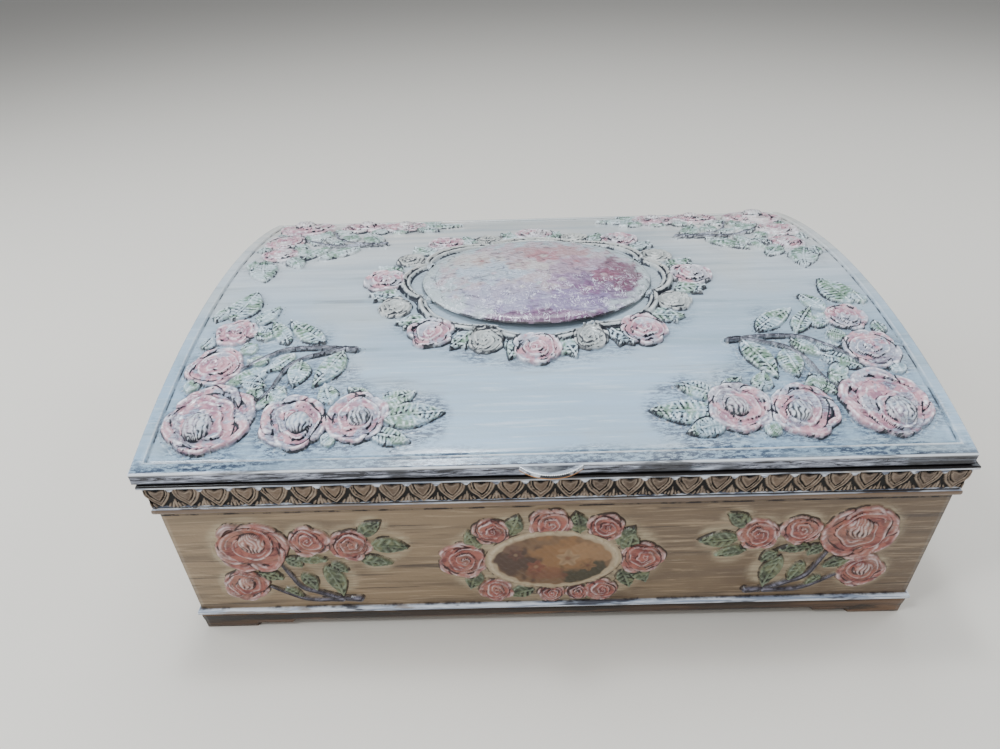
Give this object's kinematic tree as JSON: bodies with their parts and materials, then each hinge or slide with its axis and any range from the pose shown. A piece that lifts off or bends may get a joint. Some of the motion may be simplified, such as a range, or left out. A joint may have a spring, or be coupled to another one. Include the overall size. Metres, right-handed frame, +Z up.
{
  "type": "lidded jewelry box",
  "caption": "Low rectangular jewelry box of painted cast tin with a lift-off barrel-top lid, roses in relief, a picture plaque and bracket feet.",
  "frame": {"origin": "middle of the whole part's bounding box, on the plane of the feet", "axes": "+X to the right along the length, the front with the thumb tab faces -Y, +Z up out of the lid"},
  "size_m": [0.264, 0.1972, 0.0972],
  "materials": {
    "painted_body": "satin",
    "painted_lid": "satin",
    "painted_picture": "gloss",
    "bare_tin": "satin"
  },
  "bodies": {
    "root": {"body": "painted_body", "lid": "painted_lid", "picture_plaque": "painted_picture", "thumb_tab": "bare_tin"}
  },
  "joints": []
}
